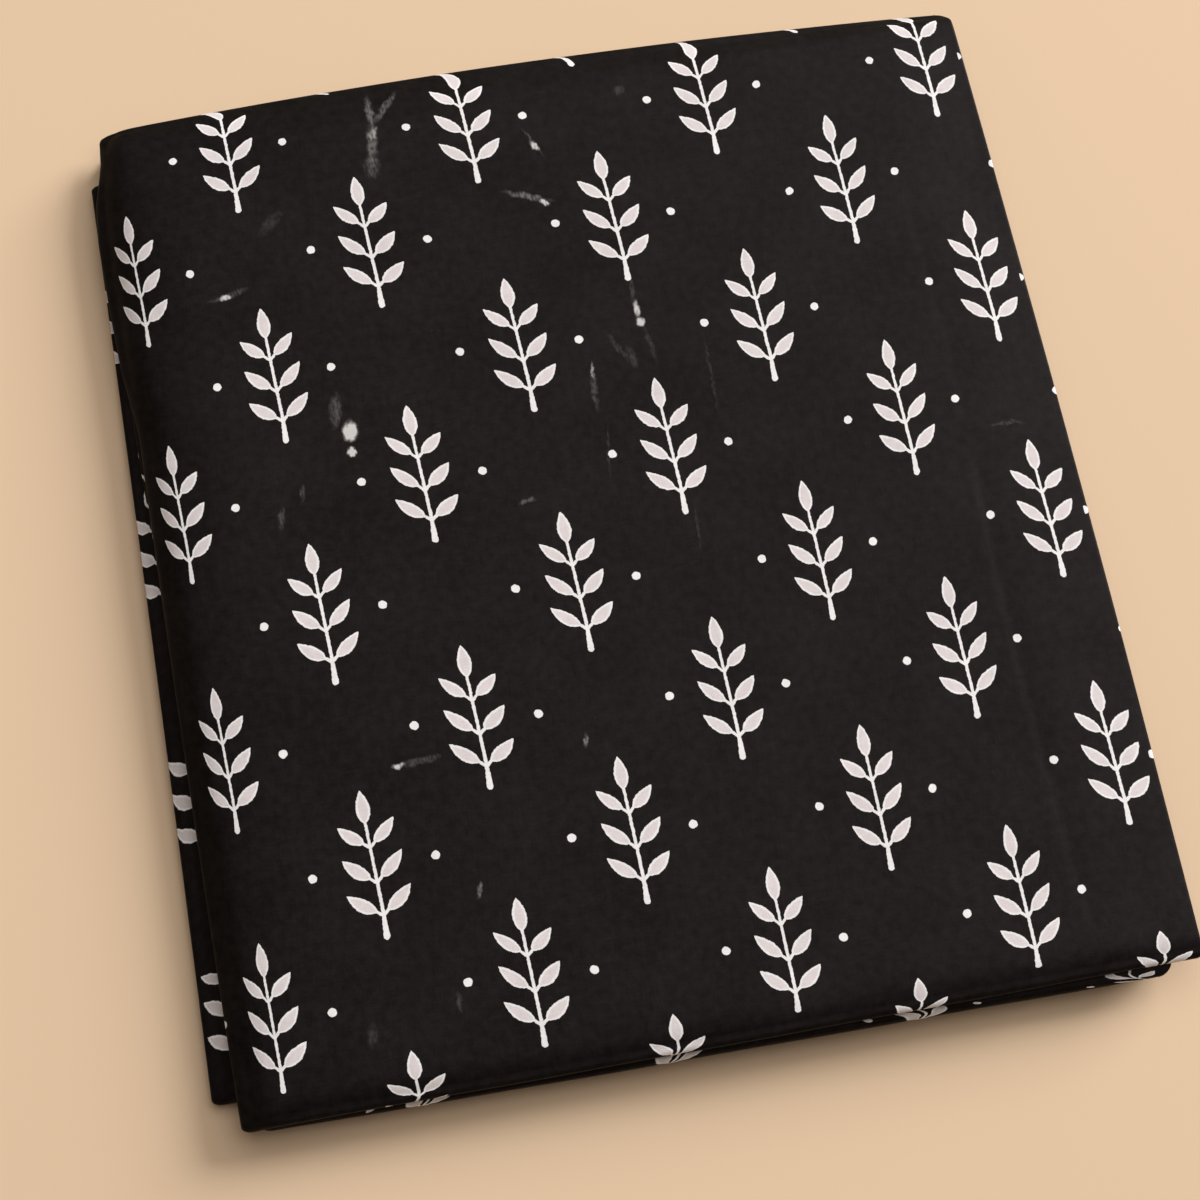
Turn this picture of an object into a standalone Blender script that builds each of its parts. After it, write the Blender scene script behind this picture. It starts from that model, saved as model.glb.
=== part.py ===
"""Folded mulmul cotton cloth, lying flat.

One cut length of thin cotton is folded in four across its width, and the strip that this
makes is folded back and forth into a flat pile. The solid follows the strip: a sheet of four
pressed plies goes to the front, turns, comes back, turns again, and ends on top.

Metres, +Z up. X runs across the pile and -Y is its front. The pile rests on z = 0.
"""

import math
from collections import namedtuple

import bmesh
import bpy

# The strip of four plies as it lies in the pile: the height of one section, the share of it
# that is air, and how thin the sheet is in a turn and how far from the turn it is full again
STRIP_PITCH = 0.0020
AIR_SHARE = 0.25
TURN_SHEET = 0.0010
TURN_RUN = 0.004

# How the pile softens at its edges: over its last millimetres a strip thins by a share of
# itself, most at the left, where the folds are pressed, and the strips above it come down
# past its edge
Edge = namedtuple("Edge", "run thin")
EDGES = {
    "left": Edge(0.027, 0.27),
    "right": Edge(0.016, 0.11),
    "front": Edge(0.0105, 0.13),
    "back": Edge(0.014, 0.07),
}
CORNER_BLEND = 4.0
DRAPE_RUN = 0.036

# The cloth never packs quite evenly: a broad, shallow wave in each section's height, which
# moves on by these shares of its length from one section to the next
UNEVEN = 0.05
WAVE_LENGTH = 0.24
WAVE_STEP_X = 0.13
WAVE_STEP_Y = -0.21

# Where the mesh has its lines, as distances in from an edge
NEAR_LEFT = (0.0, 0.003, 0.007, 0.013, 0.021, 0.031)
NEAR_RIGHT = (0.020, 0.014, 0.009, 0.0045, 0.0)
NEAR_FRONT = (0.0, 0.003, 0.006, 0.0095, 0.0135, 0.018, 0.024)
NEAR_BACK = (0.022, 0.016, 0.011, 0.007, 0.0035, 0.0)
MIDDLE_LINES = 3
TURN_STEPS = 4

# The underside is pressed exactly flat where it is this close to what it rests on
FLAT_WITHIN = 0.00005

# Each place where the strip ends or turns, from the cut end underneath to the cut end on
# top: its left and right points, how far the line between them bows outwards, and the radius
# of its left and right corners. The lowest ones have square corners and are drawn in a little.
# The origin is under the middle of the pile.
OUTWARDS = {"front": -1.0, "back": 1.0}
Turn = namedtuple("Turn", "side left_x left_y right_x right_y bow left_corner right_corner")
TURNS = (
    Turn("back", -0.1411, 0.1556, 0.1365, 0.1546, -0.0003, 0.0, 0.0),
    Turn("front", -0.1436, -0.1489, 0.1380, -0.1574, -0.0003, 0.0, 0.0),
    Turn("back", -0.1416, 0.1556, 0.1360, 0.1546, 0.0010, 0.003, 0.003),
    Turn("front", -0.1476, -0.1506, 0.1370, -0.1579, 0.0000, 0.002, 0.002),
    Turn("back", -0.1447, 0.1454, 0.1350, 0.1556, 0.0040, 0.002, 0.002),
    Turn("front", -0.1381, -0.1604, 0.1386, -0.1626, 0.0003, 0.003, 0.003),
    Turn("back", -0.1381, 0.1586, 0.1370, 0.1546, 0.0020, 0.003, 0.003),
    Turn("front", -0.1405, -0.1606, 0.1476, -0.1595, 0.0004, 0.002, 0.002),
    Turn("back", -0.1406, 0.1598, 0.1377, 0.1561, 0.0040, 0.0025, 0.0045),
)

# Each flat run of the strip between two turns, from the bottom up: how far its sides bow
Section = namedtuple("Section", "left_bow right_bow")
SECTIONS = (
    Section(-0.0003, -0.0003),
    Section(0.0004, 0.0000),
    Section(0.0000, 0.0005),
    Section(-0.0004, 0.0005),
    Section(0.0000, 0.0000),
    Section(0.0003, 0.0000),
    Section(0.0000, 0.0010),
    Section(0.0010, 0.0012),
)


def lerp(start, end, share):
    return start + (end - start) * share


def smooth(share):
    share = min(max(share, 0.0), 1.0)
    return share * share * (3.0 - 2.0 * share)


def arch(share):
    """0 at both ends and 1 in the middle."""
    return 4.0 * share * (1.0 - share)


def front_turn(index):
    return TURNS[index] if TURNS[index].side == "front" else TURNS[index + 1]


def back_turn(index):
    return TURNS[index] if TURNS[index].side == "back" else TURNS[index + 1]


def end_line(turn, across):
    """The y of a turn's outermost edge, at a share of the way across."""
    return lerp(turn.left_y, turn.right_y, across) + OUTWARDS[turn.side] * turn.bow * arch(across)


def corner_inset(radius, distance):
    """How far a rounded corner takes the side in, at a distance from the end line."""
    if radius == 0.0:
        return 0.0
    short = 1.0 - min(max(distance / radius, 0.0), 1.0)
    return radius * (1.0 - math.sqrt(1.0 - short * short))


def sides(index, across, y):
    """The x of a section's left and right edges, where they pass y."""
    front, back = front_turn(index), back_turn(index)
    low, high = end_line(front, across), end_line(back, across)
    along = min(max((y - low) / (high - low), 0.0), 1.0)
    section = SECTIONS[index]
    left = lerp(front.left_x, back.left_x, along) - section.left_bow * arch(along)
    left += corner_inset(front.left_corner, y - low) + corner_inset(back.left_corner, high - y)
    right = lerp(front.right_x, back.right_x, along) + section.right_bow * arch(along)
    right -= corner_inset(front.right_corner, y - low) + corner_inset(back.right_corner, high - y)
    return left, right


def edge_distances(index, x, y):
    """How far a point seen from above lies inside each edge of a section."""
    front, back = front_turn(index), back_turn(index)
    across = (x - front.left_x) / (front.right_x - front.left_x)
    across = min(max(across, 0.0), 1.0)
    left, right = sides(index, across, y)
    low, high = end_line(front, across), end_line(back, across)
    return {"left": x - left, "right": right - x, "front": y - low, "back": high - y}


def strip_height(index, x, y):
    """What one section adds to the pile: its full pitch, less at its edges, nothing far beyond."""
    wave = math.sin(math.tau * (x / WAVE_LENGTH + WAVE_STEP_X * index))
    wave *= math.cos(math.tau * (y / WAVE_LENGTH + WAVE_STEP_Y * index))
    inside = edge_distances(index, x, y)
    thinned = 0.0
    for name, edge in EDGES.items():
        near = 1.0 - min(max(inside[name] / edge.run, 0.0), 1.0)
        thinned += (edge.thin * near * near) ** CORNER_BLEND
    thinned **= 1.0 / CORNER_BLEND
    beyond = smooth(-min(inside.values()) / DRAPE_RUN)
    return STRIP_PITCH * (1.0 + UNEVEN * wave) * (1.0 - thinned) * (1.0 - beyond)


def support(index, x, y):
    """The height of the pile under a section."""
    return sum(strip_height(below, x, y) for below in range(index))


def turn_reach(number):
    """How far the centre of a turn's arc lies in from its outermost edge."""
    below = number - 1
    y = end_line(TURNS[number], 0.5)
    left, right = sides(below, 0.5, y)
    return 0.5 * (strip_height(below, lerp(left, right, 0.5), y) + TURN_SHEET)


def sheet_thickness(index, x, y, from_turn):
    """The pressed sheet fills its share of the pile but for the air, and is thinner in a turn."""
    full = strip_height(index, x, y) * (1.0 - AIR_SHARE)
    return lerp(min(full, TURN_SHEET), full, smooth(from_turn / TURN_RUN))


def line_shares(near_start, near_end, length):
    """Shares of a length for the mesh lines: close together near both ends."""
    shares = [distance / length for distance in near_start]
    first, last = shares[-1], 1.0 - near_end[0] / length
    shares += [lerp(first, last, step / (MIDDLE_LINES + 1)) for step in range(1, MIDDLE_LINES + 1)]
    return shares + [1.0 - distance / length for distance in near_end]


def section_row(index, along, across):
    """A point in the middle of a section's sheet, and the sheet's thickness there."""
    ends = {}
    turned_ends = []
    for number in (index, index + 1):
        turn = TURNS[number]
        turned = 0 < number < len(SECTIONS)
        reach = turn_reach(number) if turned else 0.0
        ends[turn.side] = end_line(turn, across) - OUTWARDS[turn.side] * reach
        if turned:
            turned_ends.append(ends[turn.side])
    y = lerp(ends["front"], ends["back"], along)
    left, right = sides(index, across, y)
    x = lerp(left, right, across)
    from_turn = min(abs(y - end) for end in turned_ends)
    thickness = sheet_thickness(index, x, y, from_turn)
    return (x, y, support(index, x, y) + 0.5 * thickness), thickness


def turn_row(index, step, across):
    """A point on the arc that joins a section to the next one up."""
    turn = TURNS[index + 1]
    outwards = OUTWARDS[turn.side]
    centre_y = end_line(turn, across) - outwards * turn_reach(index + 1)
    lower_left, lower_right = sides(index, across, centre_y)
    upper_left, upper_right = sides(index + 1, across, centre_y)
    share = step / TURN_STEPS
    left, right = lerp(lower_left, upper_left, share), lerp(lower_right, upper_right, share)
    x = lerp(left, right, across)
    height = strip_height(index, x, centre_y)
    thickness = sheet_thickness(index, x, centre_y, 0.0)
    angle = math.pi * share
    y = centre_y + outwards * 0.5 * height * math.sin(angle)
    z = support(index, x, y) + 0.5 * thickness + 0.5 * height * (1.0 - math.cos(angle))
    return (x, y, z), thickness


def strip_rows(across_shares):
    """Every cross line of the strip, from the cut end underneath to the one on top."""
    rows = []
    for index in range(len(SECTIONS)):
        front, back = front_turn(index), back_turn(index)
        length = back.left_y - front.left_y
        along_shares = line_shares(NEAR_FRONT, NEAR_BACK, length)
        if TURNS[index].side == "back":
            along_shares.reverse()
        rows += [[section_row(index, along, across) for across in across_shares]
                 for along in along_shares]
        if index < len(SECTIONS) - 1:
            rows += [[turn_row(index, step, across) for across in across_shares]
                     for step in range(1, TURN_STEPS)]
    return rows


def cloth_material():
    material = bpy.data.materials.new("black printed cotton")
    material.use_nodes = True
    shader = material.node_tree.nodes["Principled BSDF"]
    shader.inputs["Base Color"].default_value = (0.012, 0.011, 0.011, 1.0)
    shader.inputs["Roughness"].default_value = 0.9
    shader.inputs["Metallic"].default_value = 0.0
    return material


def folded_cloth():
    """The strip as an open sheet on its folds, thickened by Solidify."""
    width = TURNS[-1].right_x - TURNS[-1].left_x
    across_shares = line_shares(NEAR_LEFT, NEAR_RIGHT, width)
    rows = strip_rows(across_shares)
    columns = len(across_shares)

    sheet = bmesh.new()
    bmesh.ops.create_grid(sheet, x_segments=columns - 1, y_segments=len(rows) - 1, size=1.0)
    sheet.verts.ensure_lookup_table()
    thicknesses = []
    for vertex in sheet.verts:
        row, column = divmod(vertex.index, columns)
        vertex.co, thickness = rows[row][column]
        thicknesses.append(thickness)

    mesh = bpy.data.meshes.new("folded_cloth")
    sheet.to_mesh(mesh)
    sheet.free()
    cloth = bpy.data.objects.new("folded_cloth", mesh)
    mesh.materials.append(cloth_material())

    thickest = max(thicknesses)
    press = cloth.vertex_groups.new(name="pressed thickness")
    for number, thickness in enumerate(thicknesses):
        press.add([number], thickness / thickest, "REPLACE")
    wall = cloth.modifiers.new("Sheet thickness", "SOLIDIFY")
    wall.thickness = thickest
    wall.offset = 0.0
    wall.vertex_group = press.name
    return cloth


def press_flat(cloth):
    """Turn the thickened sheet into a plain mesh whose underside lies exactly on z = 0."""
    shaped = cloth.evaluated_get(bpy.context.evaluated_depsgraph_get())
    mesh = bpy.data.meshes.new_from_object(shaped)
    mesh.name = "folded_cloth_pressed"
    for vertex in mesh.vertices:
        if vertex.co.z < FLAT_WITHIN:
            vertex.co.z = 0.0
    cloth.modifiers.clear()
    cloth.vertex_groups.clear()
    cloth.data = mesh


def main():
    for old in list(bpy.data.objects):
        bpy.data.objects.remove(old, do_unlink=True)
    collection = bpy.data.collections.new("Folded mulmul cotton cloth")
    bpy.context.scene.collection.children.link(collection)
    cloth = folded_cloth()
    collection.objects.link(cloth)
    press_flat(cloth)


main()
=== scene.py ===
# %% [markdown]
# # A folded length of mulmul cotton
# Mulmul is a thin, plain-woven cotton. This length is dyed black and printed with off-white leaf
# sprigs and dots. It is folded in four across its width, and the strip that this makes goes back
# and forth into a flat pile. These cells build the one piece of cloth along its real path, ply by
# ply, and then print it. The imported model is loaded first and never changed: it says where the pile
# lies.

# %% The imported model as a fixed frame
import math
from collections import namedtuple

import bmesh
import bpy
from mathutils import Matrix, Vector


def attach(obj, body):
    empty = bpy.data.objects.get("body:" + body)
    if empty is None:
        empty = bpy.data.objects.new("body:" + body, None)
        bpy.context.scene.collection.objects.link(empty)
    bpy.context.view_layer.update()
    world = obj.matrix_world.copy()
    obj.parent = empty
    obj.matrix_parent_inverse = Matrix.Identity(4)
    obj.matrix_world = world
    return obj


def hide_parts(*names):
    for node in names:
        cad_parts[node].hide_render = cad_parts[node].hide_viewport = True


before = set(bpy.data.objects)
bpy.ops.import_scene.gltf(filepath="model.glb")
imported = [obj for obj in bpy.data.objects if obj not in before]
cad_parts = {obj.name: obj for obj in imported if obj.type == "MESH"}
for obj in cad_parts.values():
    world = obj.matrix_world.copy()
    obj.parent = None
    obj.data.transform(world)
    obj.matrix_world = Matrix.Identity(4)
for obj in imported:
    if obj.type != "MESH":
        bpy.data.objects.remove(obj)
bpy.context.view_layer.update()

# %% [markdown]
# ## The camera
# The photograph looks down on the pile from a little to its left, with the camera turned slightly.
# A camera can be placed by a rotation typed in by eye. Here its place is worked out from an
# azimuth, an elevation, a roll and the point that it aims at, because these are the numbers that
# can be measured and checked.

# %% Camera
CAMERA_AZIMUTH = math.radians(-15.325)
CAMERA_ELEVATION = math.radians(74.098)
CAMERA_ROLL = math.radians(5.313)
CAMERA_DISTANCE = 0.854
CAMERA_AIM = Vector((-0.0098, -0.0213, 0.0156))
CAMERA_LENS = 84.01
CAMERA_NEAR = 0.05
CAMERA_FAR = 20.0


def make_camera():
    level = math.cos(CAMERA_ELEVATION)
    back_x = math.sin(CAMERA_AZIMUTH) * level
    back_y = -math.cos(CAMERA_AZIMUTH) * level
    back = Vector((back_x, back_y, math.sin(CAMERA_ELEVATION)))
    level_right = Vector((math.cos(CAMERA_AZIMUTH), math.sin(CAMERA_AZIMUTH), 0.0))
    level_up = back.cross(level_right)
    right = level_right * math.cos(CAMERA_ROLL) + level_up * math.sin(CAMERA_ROLL)
    camera = bpy.data.objects.new("camera", bpy.data.cameras.new("camera"))
    camera.data.lens = CAMERA_LENS
    camera.data.clip_start = CAMERA_NEAR
    camera.data.clip_end = CAMERA_FAR
    camera.location = CAMERA_AIM + back * CAMERA_DISTANCE
    camera.rotation_euler = Matrix((right, back.cross(right), back)).transposed().to_euler()
    bpy.context.scene.collection.objects.link(camera)
    bpy.context.scene.camera = camera
    return camera


camera = make_camera()
print("camera at", [round(value, 3) for value in camera.location])

# %% [markdown]
# ## Floor and light
# Black cloth shows its shape mostly by what it faintly reflects, so the light matters as much as
# the mesh. A very broad softbox hangs overhead, a little to the back: the flat top mirrors it, and
# wherever the cloth slopes down to the left or to the front it mirrors the darker room instead. A
# wide window far off, low on the right, casts the soft shadow to the left. One small lamp would be
# simpler, but its edges would be hard. A pale warm floor carries the pile.

# %% Floor
FLOOR_COLOUR = (0.74, 0.545, 0.37, 1.0)
FLOOR_ROUGHNESS = 0.95
FLOOR_GLOSS = 0.1
FLOOR_HALF_SIZE = 2.0
FLOOR_DROP = 0.0002


def floor_material():
    material = bpy.data.materials.new("pale floor")
    material.use_nodes = True
    shader = material.node_tree.nodes["Principled BSDF"]
    shader.inputs["Base Color"].default_value = FLOOR_COLOUR
    shader.inputs["Roughness"].default_value = FLOOR_ROUGHNESS
    shader.inputs["Specular IOR Level"].default_value = FLOOR_GLOSS
    return material


def make_floor():
    sheet = bmesh.new()
    bmesh.ops.create_grid(sheet, x_segments=1, y_segments=1, size=FLOOR_HALF_SIZE)
    bmesh.ops.translate(sheet, vec=(0.0, 0.0, -FLOOR_DROP), verts=sheet.verts)
    mesh = bpy.data.meshes.new("floor")
    sheet.to_mesh(mesh)
    sheet.free()
    mesh.materials.append(floor_material())
    floor = bpy.data.objects.new("floor", mesh)
    bpy.context.scene.collection.objects.link(floor)
    return floor


floor = make_floor()
print("floor", 2.0 * FLOOR_HALF_SIZE, "m wide")

# %% Lamps and sky
Lamp = namedtuple("Lamp", "name azimuth elevation distance size power")
LAMPS = (
    Lamp("softbox overhead", 50.0, 68.0, 2.4, 3.3, 35.0),
    Lamp("window", 29.0, 24.0, 9.0, 4.8, 1110.0),
)
SKY_COLOUR = (1.0, 0.82, 0.66, 1.0)
SKY_STRENGTH = 0.15


def make_lamp(lamp):
    """A round area lamp that faces the pile; its azimuth is counted from +X towards +Y."""
    light = bpy.data.lights.new(lamp.name, "AREA")
    light.shape = "DISK"
    light.size = lamp.size
    light.energy = lamp.power
    azimuth, elevation = math.radians(lamp.azimuth), math.radians(lamp.elevation)
    level = math.cos(elevation)
    towards = Vector((math.cos(azimuth) * level, math.sin(azimuth) * level, math.sin(elevation)))
    holder = bpy.data.objects.new(lamp.name, light)
    holder.location = towards * lamp.distance
    holder.rotation_euler = towards.to_track_quat("Z", "Y").to_euler()
    bpy.context.scene.collection.objects.link(holder)


def make_sky():
    world = bpy.data.worlds.new("studio")
    world.use_nodes = True
    background = world.node_tree.nodes["Background"]
    background.inputs["Color"].default_value = SKY_COLOUR
    background.inputs["Strength"].default_value = SKY_STRENGTH
    bpy.context.scene.world = world


for lamp in LAMPS:
    make_lamp(lamp)
    print(lamp.name, lamp.size, "m across,", lamp.distance, "m away")
make_sky()
bpy.context.scene.view_settings.view_transform = "Standard"

# %% [markdown]
# ## Where the strip turns
# Folded in four, the cloth is a strip about 280 mm wide. It starts underneath with a cut end at the
# back, runs to the front, turns, runs back, and so on through eight sections to the cut end on top.
# Each row below is one such end or turn, with its left and right points as they lie in the pile.
# Hand folding leaves no two alike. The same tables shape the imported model, give or take a
# millimetre or two, so the cloth lies on its folds. The upper two sections, the top packet, also
# swell out a little at the left, near the back.

# %% Turns and sections, from the bottom up
Turn = namedtuple("Turn", "side left_x left_y right_x right_y bow left_corner right_corner")
TURNS = (
    Turn("back", -0.1411, 0.1556, 0.1365, 0.1546, -0.0003, 0.0, 0.0),
    Turn("front", -0.1436, -0.1489, 0.1380, -0.1574, -0.0003, 0.0, 0.0),
    Turn("back", -0.1416, 0.1556, 0.1360, 0.1546, 0.0010, 0.003, 0.003),
    Turn("front", -0.1484, -0.1506, 0.1370, -0.1579, 0.0000, 0.002, 0.002),
    Turn("back", -0.1457, 0.1454, 0.1350, 0.1556, 0.0040, 0.002, 0.002),
    Turn("front", -0.1360, -0.1612, 0.1386, -0.1626, 0.0003, 0.0045, 0.0050),
    Turn("back", -0.1381, 0.1586, 0.1370, 0.1546, 0.0020, 0.003, 0.003),
    Turn("front", -0.1405, -0.1606, 0.1476, -0.1595, 0.0004, 0.002, 0.002),
    Turn("back", -0.1406, 0.1598, 0.1377, 0.1561, 0.0040, 0.0017, 0.0045),
)
Section = namedtuple("Section", "left_bow right_bow")
SECTIONS = (
    Section(-0.0003, -0.0003),
    Section(0.0004, 0.0000),
    Section(0.0000, 0.0005),
    Section(-0.0004, 0.0005),
    Section(0.0000, 0.0000),
    Section(0.0003, 0.0000),
    Section(0.0000, 0.0010),
    Section(0.0010, 0.0012),
)
OUTWARDS = {"front": -1.0, "back": 1.0}
TOP = len(SECTIONS) - 1
TOP_PACKET = TOP - 1
Bulge = namedtuple("Bulge", "y out")
LEFT_BULGE = (
    Bulge(0.058, 0.0),
    Bulge(0.066, 0.0009),
    Bulge(0.078, 0.0026),
    Bulge(0.100, 0.0038),
    Bulge(0.124, 0.0046),
    Bulge(0.137, 0.0036),
    Bulge(0.150, 0.0006),
    Bulge(0.160, 0.0),
)
print(len(SECTIONS), "sections of four plies,", len(TURNS) - 2, "turns and 2 cut ends")


# %% Outline of a section
def lerp(start, end, share):
    return start + (end - start) * share


def smooth(share):
    share = min(max(share, 0.0), 1.0)
    return share * share * (3.0 - 2.0 * share)


def arch(share):
    """0 at both ends and 1 in the middle."""
    return 4.0 * share * (1.0 - share)


def front_turn(index):
    return TURNS[index] if TURNS[index].side == "front" else TURNS[index + 1]


def back_turn(index):
    return TURNS[index] if TURNS[index].side == "back" else TURNS[index + 1]


def end_line(turn, across):
    """The y of a turn's outermost edge, at a share of the way across."""
    return lerp(turn.left_y, turn.right_y, across) + OUTWARDS[turn.side] * turn.bow * arch(across)


def corner_inset(radius, distance):
    """How far a rounded corner takes the side in, at a distance from the end line."""
    if radius == 0.0:
        return 0.0
    short = 1.0 - min(max(distance / radius, 0.0), 1.0)
    return radius * (1.0 - math.sqrt(1.0 - short * short))


def left_bulge(index, y):
    """How far the top packet swells out over the one under it, near its back left corner."""
    if index < TOP_PACKET:
        return 0.0
    for before, after in zip(LEFT_BULGE, LEFT_BULGE[1:]):
        if before.y <= y <= after.y:
            return lerp(before.out, after.out, (y - before.y) / (after.y - before.y))
    return 0.0


def sides(index, across, y):
    """The x of a section's left and right edges, where they pass y."""
    front, back = front_turn(index), back_turn(index)
    low, high = end_line(front, across), end_line(back, across)
    along = min(max((y - low) / (high - low), 0.0), 1.0)
    section = SECTIONS[index]
    left = lerp(front.left_x, back.left_x, along) - section.left_bow * arch(along)
    left -= left_bulge(index, y)
    left += corner_inset(front.left_corner, y - low) + corner_inset(back.left_corner, high - y)
    right = lerp(front.right_x, back.right_x, along) + section.right_bow * arch(along)
    right -= corner_inset(front.right_corner, y - low) + corner_inset(back.right_corner, high - y)
    return left, right


print("top section at mid length: x from %.4f to %.4f" % sides(TOP, 0.5, 0.0))

# %% [markdown]
# ## How high each section lies
# A pile of soft cloth isn't a slab: it is thinner towards its edges, above all on the left, where
# the folds are pressed, and each section comes down over the edge of those under it. A cloth
# simulation could find such a shape, but thirty-two plies pressed together are slow and unsteady to
# simulate. So every section's height is a formula, and a ply rests on the sum of the heights under
# it.

# %% Heights
STRIP_PITCH = 0.0020
UNEVEN = 0.05
WAVE_LENGTH = 0.24
WAVE_STEP_X = 0.13
WAVE_STEP_Y = -0.21
Edge = namedtuple("Edge", "run thin curve fold_run fold_thin fold_from drape")
EDGES = {
    "left": Edge(0.027, 0.24, 2.0, 0.0065, 0.25, 0, 0.036),
    "right": Edge(0.022, 0.040, 1.3, 0.0025, 0.0, 0, 0.100),
    "front": Edge(0.0095, 0.05, 2.0, 0.0085, 0.50, TOP_PACKET, 0.036),
    "back": Edge(0.014, 0.07, 2.0, 0.0025, 0.12, 0, 0.036),
}
CORNER_BLEND = 4.0
CREASE_FADE = 0.15
Crease = namedtuple("Crease", "start_x start_y end_x end_y bow steep broad depth")
CREASES = (
    Crease(0.1135, 0.018, 0.1175, -0.158, -0.0030, 0.0018, 0.0070, 0.060),
    Crease(0.1090, 0.105, 0.1130, 0.012, 0.0008, 0.0018, 0.0050, 0.025),
    Crease(0.1325, -0.100, 0.1340, -0.150, 0.0000, 0.0020, 0.0040, 0.030),
    Crease(-0.1180, 0.075, -0.1135, 0.010, 0.0000, 0.0030, 0.0030, 0.025),
)
print(len(EDGES), "thinned edges and", len(CREASES), "creases")


# %% The height of a section
def edge_distances(index, x, y):
    """How far a point seen from above lies inside each edge of a section."""
    front, back = front_turn(index), back_turn(index)
    across = (x - front.left_x) / (front.right_x - front.left_x)
    across = min(max(across, 0.0), 1.0)
    left, right = sides(index, across, y)
    low, high = end_line(front, across), end_line(back, across)
    return {"left": x - left, "right": right - x, "front": y - low, "back": high - y}


def crease_share(x, y):
    """How much of a section's height the creases take, at a point."""
    share = 0.0
    for crease in CREASES:
        along = (y - crease.start_y) / (crease.end_y - crease.start_y)
        off = x - lerp(crease.start_x, crease.end_x, along) - crease.bow * arch(along)
        wall = smooth(1.0 + off / crease.steep) if off < 0.0 else smooth(1.0 - off / crease.broad)
        share += crease.depth * wall * smooth(along / CREASE_FADE) * smooth((1.0 - along) / CREASE_FADE)
    return share


def strip_height(index, x, y):
    """What one section adds to the pile: its full pitch, less towards its edges, nothing far beyond."""
    wave = math.sin(math.tau * (x / WAVE_LENGTH + WAVE_STEP_X * index))
    wave *= math.cos(math.tau * (y / WAVE_LENGTH + WAVE_STEP_Y * index))
    inside = edge_distances(index, x, y)
    thinned = 0.0
    beyond = 0.0
    for name, edge in EDGES.items():
        near = 1.0 - min(max(inside[name] / edge.run, 0.0), 1.0)
        at_fold = 1.0 - min(max(inside[name] / edge.fold_run, 0.0), 1.0)
        fold_thin = edge.fold_thin if index >= edge.fold_from else 0.0
        thinned += (edge.thin * near ** edge.curve + fold_thin * at_fold ** 2) ** CORNER_BLEND
        beyond = max(beyond, smooth(-inside[name] / edge.drape))
    thinned **= 1.0 / CORNER_BLEND
    height = STRIP_PITCH * (1.0 + UNEVEN * wave) * (1.0 - thinned) * (1.0 - beyond)
    return height * (1.0 - crease_share(x, y)) if index >= TOP_PACKET else height


def support(index, x, y):
    """The height of the pile under a section."""
    return sum(strip_height(below, x, y) for below in range(index))


print("the pile is %.1f mm high in the middle" % (1000.0 * support(len(SECTIONS), 0.0, 0.0)))

# %% [markdown]
# ## The plies inside a section
# Folding in four leaves plies 0 to 3 from the printed outer face inwards. One fold wraps all four
# at the left, a second one nests inside it, and the cloth's middle fold and its two selvedges meet
# at the right. The sheet is drawn as one line across all of that: selvedge, ply 3, round the left
# fold, ply 0, round the middle fold, ply 1, round the nested fold, ply 2, selvedge. A column of
# vertices is a place on that line.

# %% Columns across the cloth
PLY_PITCH = 0.0005
SHEET = 0.00022
LAST_PLY = 3.0
FOLD_STRETCH = 1.8
LEFT_FOLD_REACH = 1.5 * PLY_PITCH * FOLD_STRETCH + 0.5 * SHEET
RIGHT_FOLD_REACH = 0.5 * PLY_PITCH * FOLD_STRETCH + 0.5 * SHEET
NESTED_INSET = 0.003
FOLD_STEPS = 6
PLY_WIDTH = 0.28
Column = namedtuple("Column", "share out level")
FINE = (0.0, 0.0015, 0.0035, 0.006, 0.009, 0.0125, 0.0165, 0.021, 0.026)
FINE_LEFT = (0.0, 0.0005, 0.0011, 0.0018, 0.0026, 0.0035, 0.0047, 0.006, 0.0075, 0.0095) + FINE[5:]
FINE_BACK = (0.0, 0.0004, 0.0009, 0.0016, 0.0025) + FINE[2:]
FINE_FRONT = (0.0, 0.0006, 0.0013, 0.0021, 0.003, 0.0042, 0.006) + FINE[4:]
OVER_CREASE = (0.0275, 0.0287, 0.0299, 0.0311, 0.0323, 0.0335, 0.035, 0.037)
FINE_RIGHT = (0.0, 0.0003, 0.0008, 0.0016, 0.0025) + FINE[2:] + OVER_CREASE
COARSE = (0.0, 0.003, 0.007, 0.014, 0.026)
COARSE_LEFT = (0.0, 0.0011, 0.0024, 0.0038, 0.0053, 0.007, 0.010, 0.014, 0.026)
FINE_STEP = 0.0034
COARSE_STEP = 0.045


def shares_between(near_start, near_end, step, length):
    """Shares of a length: close together near both ends, and evenly spaced between."""
    first, last = near_start[-1], length - near_end[-1]
    count = max(2, round((last - first) / step))
    middle = [lerp(first, last, number / count) for number in range(1, count)]
    distances = list(near_start) + middle + [length - distance for distance in reversed(near_end)]
    return [distance / length for distance in distances]


def fold_columns(share, outwards, start_level, end_level):
    """The columns round a fold, which is pressed out by FOLD_STRETCH."""
    half = 0.5 * abs(end_level - start_level)
    middle = 0.5 * (start_level + end_level)
    turning = math.copysign(half, start_level - middle)
    for step in range(1, FOLD_STEPS):
        angle = math.pi * step / FOLD_STEPS
        out = outwards * half * PLY_PITCH * FOLD_STRETCH * math.sin(angle)
        yield Column(share, out, middle + turning * math.cos(angle))


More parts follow.
